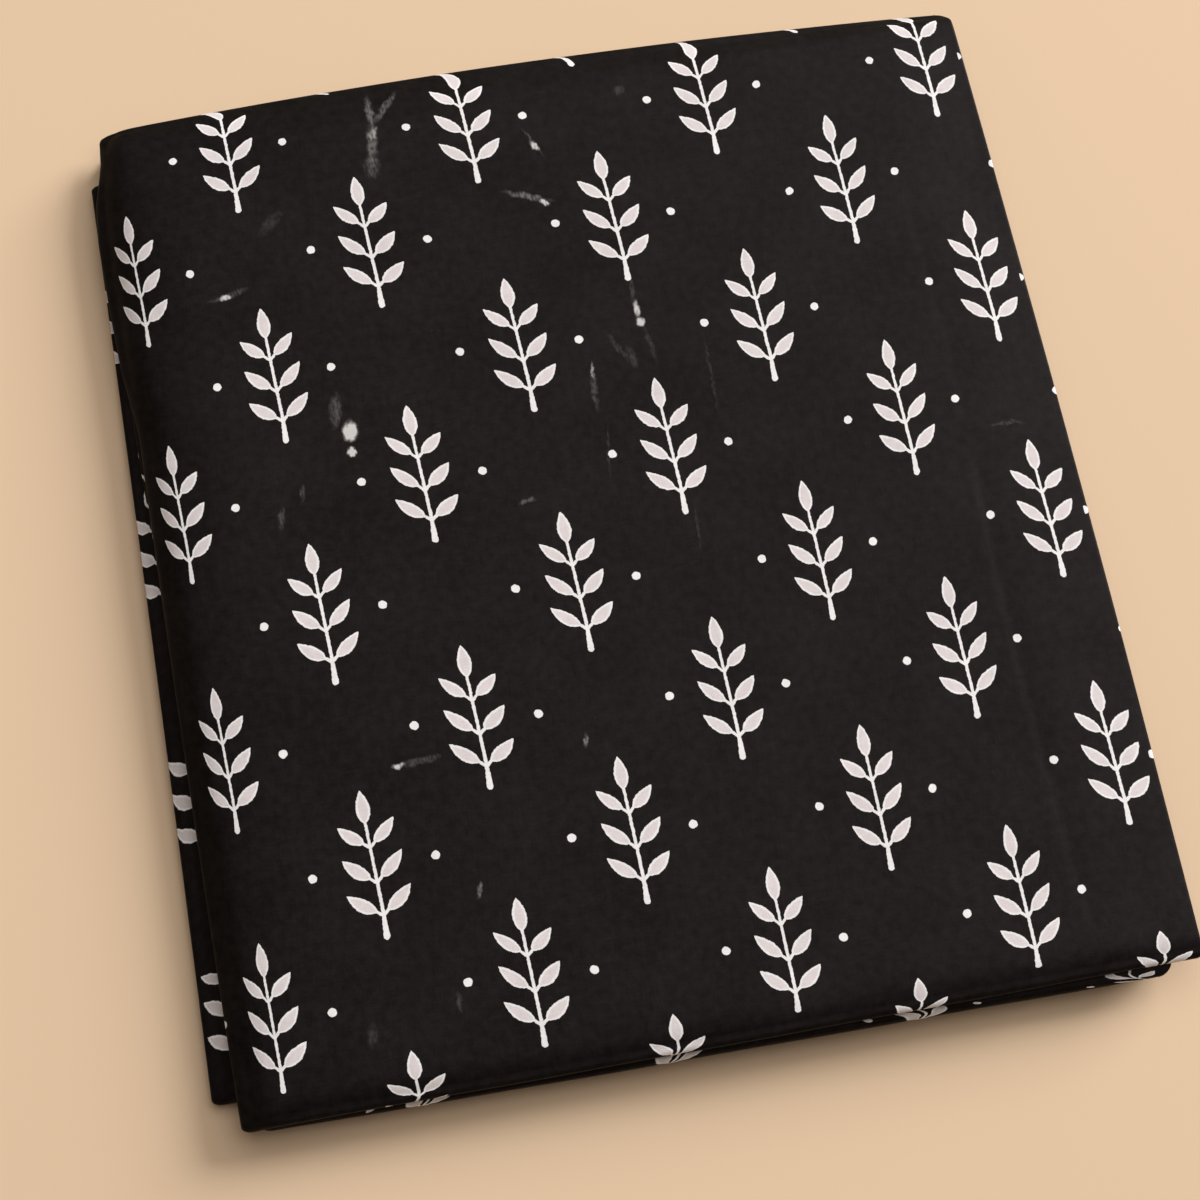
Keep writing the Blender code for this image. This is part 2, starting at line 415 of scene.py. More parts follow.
def cloth_columns():
    fine = shares_between(FINE_LEFT, FINE_RIGHT, FINE_STEP, PLY_WIDTH)
    coarse = shares_between(COARSE_LEFT, COARSE, COARSE_STEP, PLY_WIDTH)
    nested = NESTED_INSET / PLY_WIDTH
    columns = [Column(share, 0.0, LAST_PLY) for share in reversed(coarse)]
    columns += fold_columns(0.0, -1.0, LAST_PLY, 0.0)
    columns += [Column(share, 0.0, 0.0) for share in fine]
    columns += fold_columns(1.0, 1.0, 0.0, 1.0)
    columns += [Column(lerp(nested, 1.0, share), 0.0, 1.0) for share in reversed(coarse)]
    columns += fold_columns(nested, -1.0, 1.0, 2.0)
    columns += [Column(lerp(nested, 1.0, share), 0.0, 2.0) for share in coarse]
    return columns


columns = cloth_columns()
print(len(columns), "columns across the cloth")

# %% [markdown]
# ## The rows along the cloth
# A row is a place along the strip: on a flat section, or part way round a turn. In a turn each ply
# runs round those inside it, on a flat half ellipse, because the folds are pressed. The outermost
# ply reaches furthest.

# %% Turns and uneven plies
NOSE_REACH = 0.0026
Wave = namedtuple("Wave", "length step")
SELVEDGE_WAVES = (Wave(0.19, 0.37), Wave(0.083, 0.61))
SELVEDGE_WANDER = 0.0016
SELVEDGE_UNEVEN = 0.4
FIRST_SHORT_PLY = 1.5
SHORTER_FROM = 1.2
RIPPLE = 0.00007
RIPPLE_ACROSS = Wave(0.071, 0.29)
RIPPLE_ALONG = Wave(0.093, -1.7)
RIPPLE_SECTION_STEP = 0.43
RIPPLE_CLEAR = 0.003


def turn_centre(turn, share):
    """The y where a turn's ellipses have their centre, or a cut end's own line."""
    if turn in (TURNS[0], TURNS[-1]):
        return end_line(turn, share)
    return end_line(turn, share) - OUTWARDS[turn.side] * (NOSE_REACH + 0.5 * SHEET)


def selvedge_wander(column, y):
    """Real selvedges and folds inside the strip don't line up: each ply stops a little short, unevenly."""
    if column.level < FIRST_SHORT_PLY or column.share < 0.5:
        return 0.0
    turns = [y / wave.length + wave.step * column.level for wave in SELVEDGE_WAVES]
    uneven = SELVEDGE_UNEVEN * sum(math.sin(math.tau * turn) for turn in turns)
    return SELVEDGE_WANDER * (column.level - SHORTER_FROM + uneven) * smooth(2.0 * column.share - 1.0)


def ripple(index, level, x, y, z):
    """Plies lie a little unevenly between each other, but the lowest one lies flat."""
    phase = RIPPLE_ACROSS.step * level + RIPPLE_SECTION_STEP * index
    wave = math.sin(math.tau * (x / RIPPLE_ACROSS.length + phase))
    wave *= math.cos(math.tau * (y / RIPPLE_ALONG.length + RIPPLE_ALONG.step * phase))
    return RIPPLE * wave * smooth(z / RIPPLE_CLEAR)


print("a turn reaches up to %.1f mm beyond its centre" % (1000.0 * NOSE_REACH))

# %% A point on the cloth
Row = namedtuple("Row", "section along angle")


def across_place(index, column, y):
    """The x of a column of a section, where it passes y."""
    left, right = sides(index, column.share, y)
    x = lerp(left + LEFT_FOLD_REACH, right - RIGHT_FOLD_REACH, column.share) + column.out
    return x - selvedge_wander(column, y)


def ply_point(index, column, y):
    """Where a ply of a section passes y, with its section's height there."""
    x = across_place(index, column, y)
    height = strip_height(index, x, y)
    face_up = OUTWARDS[TURNS[index].side] < 0.0
    from_below = LAST_PLY - column.level if face_up else column.level
    z = support(index, x, y) + 0.5 * SHEET + from_below * PLY_PITCH * height / STRIP_PITCH
    return Vector((x, y, z + ripple(index, column.level, x, y, z))), height


def section_point(row, column):
    front, back = front_turn(row.section), back_turn(row.section)
    y = lerp(turn_centre(front, column.share), turn_centre(back, column.share), row.along)
    return ply_point(row.section, column, y)[0]


def turn_point(row, column):
    """A point on the turn from a section to the next one up."""
    turn = TURNS[row.section + 1]
    centre_y = turn_centre(turn, column.share)
    lower, height = ply_point(row.section, column, centre_y)
    upper, _ = ply_point(row.section + 1, column, centre_y)
    radius = 0.5 * (upper.z - lower.z)
    largest = 0.5 * (height + LAST_PLY * PLY_PITCH * height / STRIP_PITCH)
    turned = 0.5 * (1.0 - math.cos(row.angle))
    y = centre_y + OUTWARDS[turn.side] * NOSE_REACH * radius / largest * math.sin(row.angle)
    x = lerp(across_place(row.section, column, y), across_place(row.section + 1, column, y), turned)
    return Vector((x, y, lerp(lower.z, upper.z, turned)))


def cloth_point(row, column):
    return section_point(row, column) if row.angle is None else turn_point(row, column)


on_top = cloth_point(Row(TOP, 0.5, None), Column(0.5, 0.0, 0.0))
print("a point in the middle of the top:", [round(value, 4) for value in on_top])

# %% Rows along the cloth
TURN_STEPS = 8
SECTION_LENGTH = 0.30


def cloth_rows():
    rows = []
    for index in range(len(SECTIONS)):
        steps = (FINE_FRONT, FINE_BACK, FINE_STEP) if index == TOP else (COARSE, COARSE, COARSE_STEP)
        shares = shares_between(*steps, SECTION_LENGTH)
        if TURNS[index].side == "back":
            shares.reverse()
        rows += [Row(index, share, None) for share in shares]
        if index < TOP:
            rows += [Row(index, None, math.pi * step / TURN_STEPS) for step in range(1, TURN_STEPS)]
    return rows


rows = cloth_rows()
print(len(rows), "rows along the cloth")

# %% [markdown]
# ## One continuous grid
# The cloth is one grid of the columns and rows, bent into its folds vertex by vertex, so it has no
# seams and could be unfolded again. Its UV map holds the same places in metres on the flat cloth,
# measured along the plies, and the print follows that map round every fold.

# %% Places on the flat cloth
def lay_out():
    return [[cloth_point(row, column) for column in columns] for row in rows]


def run_lengths(points):
    lengths = [0.0]
    for here, there in zip(points, points[1:]):
        lengths.append(lengths[-1] + (there - here).length)
    return lengths


def interpolate(share, shares, values):
    for number in range(1, len(shares)):
        if share <= shares[number]:
            part = (share - shares[number - 1]) / (shares[number] - shares[number - 1])
            return lerp(values[number - 1], values[number], part)
    return values[-1]


def flat_places(points):
    """Each vertex's flat place: u across from the middle fold, v along, with the top cut end at its y."""
    outer = [number for number, column in enumerate(columns) if column.level == 0.0]
    outer_shares = [columns[number].share for number in outer]
    middle_fold = outer[-1]
    along = []
    for number in outer:
        lengths = run_lengths([line[number] for line in points])
        end = points[-1][number].y
        along.append([end - (lengths[-1] - length) for length in lengths])
    places = []
    for number, line in enumerate(points):
        across = run_lengths(line)
        values = [track[number] for track in along]
        places.append([
            (run - across[middle_fold], interpolate(column.share, outer_shares, values))
            for run, column in zip(across, columns)
        ])
    return places


points = lay_out()
places = flat_places(points)
widths = [line[-1][0] - line[0][0] for line in places]
lengths = [places[-1][number][1] - places[0][number][1] for number in range(len(columns))]
print("cloth %.3f to %.3f m wide" % (min(widths), max(widths)))
print("and %.3f to %.3f m long" % (min(lengths), max(lengths)))


# %% The cloth's mesh
def make_cloth():
    sheet = bmesh.new()
    bmesh.ops.create_grid(sheet, x_segments=len(columns) - 1, y_segments=len(rows) - 1, size=1.0)
    sheet.verts.ensure_lookup_table()
    flat = sheet.loops.layers.uv.new("flat cloth")
    for vertex in sheet.verts:
        row, column = divmod(vertex.index, len(columns))
        vertex.co = points[row][column]
        for corner in vertex.link_loops:
            corner[flat].uv = places[row][column]
    mesh = bpy.data.meshes.new("mulmul_cloth")
    sheet.to_mesh(mesh)
    sheet.free()
    mesh.shade_smooth()
    cloth = bpy.data.objects.new("mulmul_cloth", mesh)
    bpy.context.scene.collection.objects.link(cloth)
    return cloth


cloth = make_cloth()
print(len(cloth.data.polygons), "faces")

# %% [markdown]
# ## The sheet's thickness
# The grid is a surface without any thickness. Cotton as thin as this is about a fifth of a
# millimetre thick. The second face could be laid out like the first one, but a Solidify modifier
# adds it, and the narrow walls at the selvedges and cut ends, from the one number.

# %% The sheet's thickness
wall = cloth.modifiers.new("Sheet thickness", "SOLIDIFY")
wall.thickness = SHEET
wall.offset = 0.0
print("sheet", 1000.0 * SHEET, "mm thick")

# %% [markdown]
# ## Arithmetic in a node tree
# The print, the weave and the rubbed marks are small formulas of a place on the flat cloth. A
# formula can be put together from Math nodes by hand, but fifty of them are hard to read. A wire
# below stands for one number in a node tree, and Python's own signs between wires make the Math
# nodes, so that a formula reads like one.

# %% Wires
class Wire:
    """One number in a node tree."""

    def __init__(self, tree, socket):
        self.tree = tree
        self.socket = socket

    def maths(self, operation, *values):
        node = self.tree.nodes.new("ShaderNodeMath")
        node.operation = operation
        for slot, value in zip(node.inputs, (self,) + values):
            feed(self.tree, slot, value)
        return Wire(self.tree, node.outputs[0])

    def __add__(self, other):
        return self.maths("ADD", other)

    def __sub__(self, other):
        return self.maths("SUBTRACT", other)

    def __mul__(self, other):
        return self.maths("MULTIPLY", other)

    def __abs__(self):
        return self.maths("ABSOLUTE")

    def larger(self, other):
        return self.maths("MAXIMUM", other)

    def between(self, low, high):
        return self.maths("MAXIMUM", low).maths("MINIMUM", high)

    def wave(self, turns_per_unit, start):
        """A sine wave of a length and a start, both in whole turns."""
        return (self * (math.tau * turns_per_unit) + math.tau * start).maths("SINE")

    def ramp(self, low, high, from_value=0.0, to_value=1.0):
        """A soft step: from_value below low, to_value above high."""
        node = self.tree.nodes.new("ShaderNodeMapRange")
        node.interpolation_type = "SMOOTHSTEP"
        feed(self.tree, node.inputs["Value"], self)
        limits = {"From Min": low, "From Max": high, "To Min": from_value, "To Max": to_value}
        for name, value in limits.items():
            feed(self.tree, node.inputs[name], value)
        return Wire(self.tree, node.outputs["Result"])


def feed(tree, slot, value):
    """A wire is linked to a node's socket, and a plain value is set on it."""
    if isinstance(value, Wire):
        tree.links.new(value.socket, slot)
    else:
        slot.default_value = value


print("wires ready")


# %% Node groups
def new_group(name, inputs, outputs):
    """An empty group, the wires of its inputs, and its end node."""
    group = bpy.data.node_groups.new(name, "ShaderNodeTree")
    for title in inputs:
        group.interface.new_socket(title, in_out="INPUT", socket_type="NodeSocketFloat")
    for title in outputs:
        group.interface.new_socket(title, in_out="OUTPUT", socket_type="NodeSocketFloat")
    start = group.nodes.new("NodeGroupInput")
    end = group.nodes.new("NodeGroupOutput")
    return group, [Wire(group, start.outputs[title]) for title in inputs], end


def place_group(tree, group, *values):
    """A group in a tree, fed with values in the order of its inputs. Gives the wires of its outputs."""
    node = tree.nodes.new("ShaderNodeGroup")
    node.node_tree = group
    for slot, value in zip(node.inputs, values):
        feed(tree, slot, value)
    return [Wire(tree, output) for output in node.outputs]


def place_vector(tree, x, y):
    """A place's two numbers as one vector, with 1 as its third."""
    node = tree.nodes.new("ShaderNodeCombineXYZ")
    for slot, value in zip(node.inputs, (x, y, 1.0)):
        feed(tree, slot, value)
    return node.outputs["Vector"]


def along_and_off(tree, place, start_x, start_y, way_x, way_y, half_length=1.0, half_width=1.0):
    """How far a place lies along a way from a start, and how far off it, in half sizes."""
    wires = []
    for across_x, across_y, half in ((way_x, way_y, half_length), (way_y, -way_x, half_width)):
        start = start_x * across_x + start_y * across_y
        node = tree.nodes.new("ShaderNodeVectorMath")
        node.operation = "DOT_PRODUCT"
        tree.links.new(place, node.inputs[0])
        node.inputs[1].default_value = (across_x / half, across_y / half, -start / half)
        wires.append(Wire(tree, node.outputs["Value"]))
    return wires


def noise(tree, x, y, size, detail=2.0):
    """Soft noise from about 0.3 to 0.7, with blotches of a size."""
    place = tree.nodes.new("ShaderNodeCombineXYZ")
    feed(tree, place.inputs["X"], x)
    feed(tree, place.inputs["Y"], y)
    node = tree.nodes.new("ShaderNodeTexNoise")
    node.noise_dimensions = "2D"
    tree.links.new(place.outputs["Vector"], node.inputs["Vector"])
    node.inputs["Scale"].default_value = 1.0 / size
    node.inputs["Detail"].default_value = detail
    return Wire(tree, node.outputs[0])


print("groups ready")

# %% [markdown]
# ## The printing block
# The print is one carved block, stamped again and again: a sprig with three pairs of leaves and one
# at its tip, and a dot at each side. The block is drawn here in millimetres from the sprig's foot.
# Each part of it says how far inside it a point lies, and the largest of these numbers is above
# zero wherever there is paint. It needs no picture, and stays sharp at any distance. The leaves are
# one pair, mirrored.

# %% The block's strokes and leaves
Stroke = namedtuple("Stroke", "start_x start_y end_x end_y start_half end_half")
Leaf = namedtuple("Leaf", "start_x start_y end_x end_y half_width belly")
STEM = (
    Stroke(-0.25, 0.3, 0.10, 8.0, 0.95, 0.45),
    Stroke(0.10, 6.5, 0.0, 35.4, 0.50, 0.40),
)
STALKS = (
    Stroke(0.0, 6.6, 2.3, 8.6, 0.52, 0.42),
    Stroke(0.0, 16.5, 2.3, 18.8, 0.50, 0.40),
    Stroke(0.0, 27.2, 2.2, 29.4, 0.46, 0.36),
)
SIDE_LEAVES = (
    Leaf(1.65, 8.0, 9.25, 14.4, 1.98, 0.35),
    Leaf(1.60, 18.1, 8.70, 25.05, 1.98, 0.35),
    Leaf(1.55, 28.8, 8.25, 35.15, 1.85, 0.30),
)
END_LEAF = Leaf(0.0, 34.8, 0.1, 44.9, 2.05, 0.10)
LEAN = 0.043
LEAF_SHOULDER = 0.8
SPRIG_MIDDLE = 22.45


def beside(tree, place, line):
    """How far along a line a place lies, and how far off it, with the line's length."""
    length = math.hypot(line.end_x - line.start_x, line.end_y - line.start_y)
    way_x = (line.end_x - line.start_x) / length
    way_y = (line.end_y - line.start_y) / length
    return along_and_off(tree, place, line.start_x, line.start_y, way_x, way_y) + [length]


def stroke_group():
    inputs = ("Along", "Off", "Length", "Start half", "End half")
    group, wires, end = new_group("carved stroke", inputs, ("Inside",))
    along, off, length, start_half, end_half = wires
    nearest = along.larger(0.0).maths("MINIMUM", length)
    share = nearest.maths("DIVIDE", length)
    beyond = along - nearest
    distance = (off * off + beyond * beyond).maths("SQRT")
    inside = start_half + (end_half - start_half) * share - distance
    feed(group, end.inputs["Inside"], inside)
    return group


def leaf_group():
    inputs = ("Along", "Off", "Length", "Half width", "Belly")
    group, wires, end = new_group("carved leaf", inputs, ("Inside",))
    along, off, length, half_width, belly = wires
    nearest = along.larger(0.0).maths("MINIMUM", length)
    share = nearest.maths("DIVIDE", length)
    beyond = abs(along - nearest)
    rounding = (share.maths("POWER", LEAF_SHOULDER) * math.pi).maths("SINE")
    profile = rounding.larger(0.0).maths("POWER", LEAF_SHOULDER)
    bend = belly * share * (share * -1.0 + 1.0) * 4.0
    inside = half_width * profile - abs(off - bend) - beyond
    feed(group, end.inputs["Inside"], inside)
    return group


carved_stroke = stroke_group()
carved_leaf = leaf_group()
print(len(STEM) + 2 * len(STALKS), "strokes and", 2 * len(SIDE_LEAVES) + 1, "leaves in the block")


# %% The sprig
def sprig_group():
    """How far inside the block's sprig a point lies, and inside its leaves alone."""
    group, (x, y), end = new_group("carved sprig", ("Across", "Along"), ("Inside", "In leaf"))
    middle = place_vector(group, x, y)
    mirrored = place_vector(group, abs(x), y + x * LEAN)
    in_leaf = None
    for place, leaf in [(middle, END_LEAF)] + [(mirrored, leaf) for leaf in SIDE_LEAVES]:
        in_this = place_group(group, carved_leaf, *beside(group, place, leaf), *leaf[4:])[0]
        in_leaf = in_this if in_leaf is None else in_leaf.larger(in_this)
    inside = in_leaf
    for place, line in [(middle, line) for line in STEM] + [(mirrored, line) for line in STALKS]:
        in_this = place_group(group, carved_stroke, *beside(group, place, line), *line[4:])[0]
        inside = inside.larger(in_this)
    feed(group, end.inputs["Inside"], inside)
    feed(group, end.inputs["In leaf"], in_leaf)
    return group


carved_sprig = sprig_group()
print("sprig group:", len(carved_sprig.nodes), "nodes")

# %% [markdown]
# ## The repeat of the print
# The sprigs stand in columns, and every second column is dropped by half a repeat. A point on the
# flat cloth is turned into a column and a row number, and the nearest sprig is drawn there, so one
# block prints the whole length. A hand-placed block never lands dead true: slow waves push the
# columns a millimetre or two aside, the block slips once or twice, and a fine noise roughens each
# edge, as paint does on thin threads. Near the folds the print is squeezed a little, because the
# soft cloth rolls over there more tightly than these smooth folds.

# %% Repeat and drift, in millimetres on the flat cloth
MILLIMETRES = 1000.0
FIRST_SPRIG = (-273.48, 107.48)
NEXT_COLUMN = (75.018, -2.51)
NEXT_ROW = (0.0, -78.924)
DRIFT_SIDEWAYS = ((1.62, 1.0 / 260.0, -1.0 / 1000.0, -0.282), (-1.94, 0.0, 1.0 / 1400.0, 0.0))
DRIFT_ALONG = ((1.43, 1.0 / 150.0, -0.493), (0.87, 1.0 / 100.0, 0.474))
DOT_SIDE = 17.95
DOT_ALONG = (-1.75, -0.05)
DOT_HALF = 1.30
Squeeze = namedtuple("Squeeze", "starts longest size")
Slip = namedtuple("Slip", "low high size")
LEFT_SQUEEZE = Squeeze(-268.0, 13.0, 0.019)
BACK_SQUEEZE = Squeeze(115.0, 50.0, 0.0007)
FRONT_SQUEEZE = Squeeze(-143.0, 19.5, 0.00077)
TOP_ENDS = (-175.0, -165.0)
LOWER_SHIFT = 0.9
ROLLED_UNDER = Slip(-1.3, -0.7, 6.2)
BLOCK_SLIP = Slip(-1375.0, -1330.0, 15.0)
FRONT_ROLL_STARTS = (-796.0, -790.0)
FRONT_ROLL_ENDS = (-812.0, -806.0)
FRONT_ROLL_SLIP = (11.3, 14.25)
FRONT_ROLL_SKEW = (-0.0265, 0.0727)
ROUGH_SIZE = 1.1
ROUGH_EDGE = 0.45
PAINT_EDGE = 0.10
FILL_FROM = 0.45
FILL_TO = 0.80


def drifted(u, v):
    """The flat cloth's place, less what the hand-placed block drifted there."""
    placed_u = u
    for size, per_u, per_v, start in DRIFT_SIDEWAYS:
        placed_u = placed_u - (u * per_u + v * per_v).wave(1.0, start) * size
    placed_v = v
    for size, per_u, start in DRIFT_ALONG:
        placed_v = placed_v - u.wave(per_u, start) * size
    left = (u * -1.0 + LEFT_SQUEEZE.starts).between(0.0, LEFT_SQUEEZE.longest)
    back = (v - BACK_SQUEEZE.starts).between(0.0, BACK_SQUEEZE.longest)
    front = (v * -1.0 + FRONT_SQUEEZE.starts).between(0.0, FRONT_SQUEEZE.longest)
    on_top = v.ramp(*TOP_ENDS)
    placed_u = placed_u - on_top * left * left * LEFT_SQUEEZE.size - (on_top - 1.0) * LOWER_SHIFT
    placed_u = placed_u + u.ramp(ROLLED_UNDER.low, ROLLED_UNDER.high, 0.0, ROLLED_UNDER.size)
    placed_v = placed_v + back * back * BACK_SQUEEZE.size - front * front * front * FRONT_SQUEEZE.size
    placed_v = placed_v - v.ramp(BLOCK_SLIP.low, BLOCK_SLIP.high, BLOCK_SLIP.size, 0.0)
    on_roll = v.ramp(*FRONT_ROLL_STARTS, 1.0, 0.0) * v.ramp(*FRONT_ROLL_ENDS)
    placed_u = placed_u - on_roll * (u * FRONT_ROLL_SKEW[0] + FRONT_ROLL_SLIP[0])
    placed_v = placed_v - on_roll * (u * FRONT_ROLL_SKEW[1] + FRONT_ROLL_SLIP[1])
    return placed_u, placed_v


print(len(DRIFT_SIDEWAYS), "slow waves sideways and", len(DRIFT_ALONG), "along")


# %% The nearest sprig and dot
def repeat_numbers(u, v):
    """The column and row numbers at a place, with sprigs where both are whole or both are halves."""
    from_u = u - FIRST_SPRIG[0]
    from_v = v - FIRST_SPRIG[1]
    area = NEXT_COLUMN[0] * NEXT_ROW[1] - NEXT_COLUMN[1] * NEXT_ROW[0]
    column = from_u * (NEXT_ROW[1] / area) - from_v * (NEXT_ROW[0] / area)
    row = from_v * (NEXT_COLUMN[0] / area) - from_u * (NEXT_COLUMN[1] / area)
    return column, row


def millimetres(columns_off, rows_off):
    x = columns_off * NEXT_COLUMN[0] + rows_off * NEXT_ROW[0]
    y = columns_off * NEXT_COLUMN[1] + rows_off * NEXT_ROW[1]
    return x, y


def nearest_sprig(column, row):
    """Where a point lies, seen from the middle of the nearest sprig."""
    half_column = (column * 2.0).maths("ROUND")
    drop = half_column.maths("FLOORED_MODULO", 2.0) * 0.5
    nearest_row = (row - drop).maths("ROUND") + drop
    return millimetres(column - half_column * 0.5, row - nearest_row)


def inside_dot(column, row):
    """Dots lie between the columns, by turns those of the column on the left and on the right."""
    between = (column * 2.0 - 0.5).maths("ROUND")
    drop = between.maths("FLOORED_MODULO", 2.0) * 0.5
    half_row = ((row - drop) * 2.0).maths("ROUND")
    turn = half_row.maths("FLOORED_MODULO", 2.0)
    x, y = millimetres(column - (between + turn) * 0.5, row - half_row * 0.5 - drop)
    off_x = x - DOT_SIDE + turn * (2.0 * DOT_SIDE)
    off_y = y - DOT_ALONG[0] - turn * (DOT_ALONG[1] - DOT_ALONG[0])
    return (off_x * off_x + off_y * off_y).maths("SQRT") * -1.0 + DOT_HALF


print("dots", 2.0 * DOT_HALF, "mm across,", DOT_SIDE, "mm beside each sprig's middle")


# %% The print as a group
def print_group():
    """Where the white paint lies, and where it is the thinner paint inside a leaf."""
    group, (across, along), end = new_group("block print", ("Across", "Along"), ("Paint", "Fill"))
    u = across * MILLIMETRES
    v = along * MILLIMETRES
    rough = (noise(group, u, v, ROUGH_SIZE) - 0.5) * ROUGH_EDGE
    column, row = repeat_numbers(*drifted(u, v))
    x, y = nearest_sprig(column, row)
    inside, in_leaf = place_group(group, carved_sprig, x, y + SPRIG_MIDDLE)
    painted = inside.larger(inside_dot(column, row)) + rough
    feed(group, end.inputs["Paint"], painted.ramp(-PAINT_EDGE, PAINT_EDGE))
    feed(group, end.inputs["Fill"], (in_leaf + rough).ramp(FILL_FROM, FILL_TO))
    return group


block_print = print_group()
print("a sprig every %.1f by %.1f mm" % (NEXT_COLUMN[0], -NEXT_ROW[1]))

# %% [markdown]
# ## The weave
# Mulmul is a plain weave of fine, uneven threads: each one goes over and under by turns. Two sine
# waves make the rounded threads, their product says which one is on top, and noise stretched along
# a thread makes it thick and thin. Real threads could be modelled one by one, but there are about
# ten million crossings in this length.

# %% The weave as a group
THREAD_PITCH = 0.34
WOBBLE = 0.25
WOBBLE_STRETCH = 0.2
WOBBLE_SIZE_WARP = 6.0
WOBBLE_SIZE_WEFT = 7.0
SLUB_SIZE = 2.0
SLUB_ACROSS = 6.0
SLUB_ALONG = 0.4
MOTTLE_SIZE = 3.0
CLOUD_SIZE = 26.0
CLOUD_SHARE = 0.7
SLUB_SHARE = 0.7
TONE_MIDDLE = 1.55


def weave_group():
    """The height of the threads from 0 to 1, and the cloth's uneven tone around 1."""
    group, (across, along, unevenness), end = new_group(
        "plain weave", ("Across", "Along", "Unevenness"), ("Height", "Tone"))
    u = across * MILLIMETRES
    v = along * MILLIMETRES
    wobbly_u = u + (noise(group, u * WOBBLE_STRETCH, v, WOBBLE_SIZE_WARP) - 0.5) * WOBBLE
    wobbly_v = v + (noise(group, u, v * WOBBLE_STRETCH, WOBBLE_SIZE_WEFT) - 0.5) * WOBBLE
    warp = wobbly_u.wave(0.5 / THREAD_PITCH, 0.0)
    weft = wobbly_v.wave(0.5 / THREAD_PITCH, 0.0)
    crossing = warp * weft
    over = abs(warp) * (crossing + 1.0)
    under = abs(weft) * (crossing * -1.0 + 1.0)
    slubs_warp = noise(group, u * SLUB_ACROSS, v * SLUB_ALONG, SLUB_SIZE)
    slubs_weft = noise(group, u * SLUB_ALONG, v * SLUB_ACROSS, SLUB_SIZE)
    height = over.larger(under) * 0.5 + (slubs_warp + slubs_weft) * 0.5
    mottle = noise(group, u, v, MOTTLE_SIZE, 3.0) + noise(group, u, v, CLOUD_SIZE) * CLOUD_SHARE
    mottle = mottle + (slubs_warp + slubs_weft) * SLUB_SHARE
    feed(group, end.inputs["Height"], height)
    feed(group, end.inputs["Tone"], ((mottle - TONE_MIDDLE) * unevenness + 1.0).larger(0.0))
    return group


plain_weave = weave_group()
print("threads %.2f mm apart" % THREAD_PITCH)

# %% [markdown]
# ## Rubbed marks
# Black cotton shows where it was rubbed or touched with chalk: short pale streaks, most of them
# along the cloth. Each mark is a soft oval in a table, with its middle, the way it runs, its half
# sizes and its strength, in millimetres on the flat cloth. A streaky noise breaks the ovals up, so
# that no mark has an outline.

# %% Marks
Mark = namedtuple("Mark", "u v degrees half_length half_width strength")
MARK_RAGGED = 1.8
MARK_RAGGED_SIZES = (2.6, 3.4)
MARK_FADE = 2.6
STREAK_STRETCH = 0.4
STREAK_SIZE = 0.8
STREAK_EDGES = (0.30, 0.68)
STREAK_SHARE = 0.75
EVEN_SHARE = 0.2
STRONG_SHARE = 0.4
PALEST = 0.95
MARKS = (
    Mark(-191.5, 150.5, 88.0, 5.5, 1.1, 0.21),
    Mark(-186.6, 151.5, 50.0, 6.0, 1.1, 0.17),
    Mark(-192.0, 142.6, 80.0, 2.6, 1.3, 0.46),
    Mark(-193.2, 138.0, 80.0, 8.5, 1.4, 0.20),
    Mark(-194.5, 131.0, 75.0, 3.5, 2.2, 0.10),
    Mark(-142.4, 129.6, -62.0, 1.9, 0.8, 1.00),
    Mark(-142.6, 131.0, -66.0, 5.0, 0.5, 0.10),
    Mark(-148.0, 112.8, -22.0, 6.5, 0.9, 0.22),
    Mark(-143.3, 110.0, -35.0, 1.7, 0.9, 1.05),
    Mark(-229.5, 117.5, 40.0, 5.0, 1.6, 0.04),
    Mark(-247.0, 94.8, 12.0, 5.4, 0.8, 0.10),
    Mark(-248.1, 94.3, 12.0, 1.8, 0.8, 0.90),
    Mark(-218.3, 44.2, 80.0, 2.8, 1.9, 1.60),
    Mark(-219.0, 37.3, 0.0, 1.2, 1.2, 1.50),
    Mark(-221.5, 51.5, 78.0, 5.0, 1.6, 0.12),
    Mark(-122.6, 69.2, 86.0, 2.4, 0.9, 0.95),
    Mark(-122.4, 64.5, 96.0, 1.4, 1.1, 1.15),
    Mark(-122.6, 75.5, 84.0, 4.5, 0.7, 0.07),
    Mark(-121.0, 57.0, 96.0, 5.5, 0.7, 0.05),
    Mark(-140.5, 51.2, 84.0, 2.6, 0.5, 0.41),
    Mark(-141.3, 44.5, 86.0, 5.5, 0.9, 0.09),
    Mark(-131.0, 57.5, -64.0, 6.0, 0.8, 0.05),
    Mark(-127.5, 53.5, 100.0, 3.5, 1.2, 0.06),
    Mark(-236.4, 26.6, 80.0, 2.4, 0.8, 0.10),
    Mark(-244.0, 19.5, 80.0, 3.2, 0.9, 0.09),
    Mark(-169.0, 12.8, 10.0, 2.4, 0.8, 0.14),
    Mark(-166.9, -64.6, 80.0, 2.0, 0.7, 0.27),
    Mark(-223.5, -63.0, 5.0, 1.8, 0.8, 0.90),
    Mark(-217.5, -62.6, 4.0, 6.0, 1.0, 0.10),
    Mark(-206.7, -104.1, 75.0, 2.2, 0.7, 0.22),
    Mark(-218.7, -136.0, 88.0, 2.6, 0.8, 0.07),
    Mark(-245.3, -141.4, 80.0, 3.5, 1.3, 0.05),
    Mark(-111.5, 144.2, 30.0, 2.0, 1.4, 0.07),
    Mark(-104.4, 43.0, 88.0, 11.0, 0.4, 0.04),
    Mark(-141.2, 24.0, 80.0, 8.0, 0.4, 0.04),
    Mark(-119.5, -5.0, 85.0, 6.0, 0.4, 0.04),
    Mark(-17.5, 10.6, -6.0, 4.5, 0.6, 0.07),
)
print(len(MARKS), "rubbed marks")


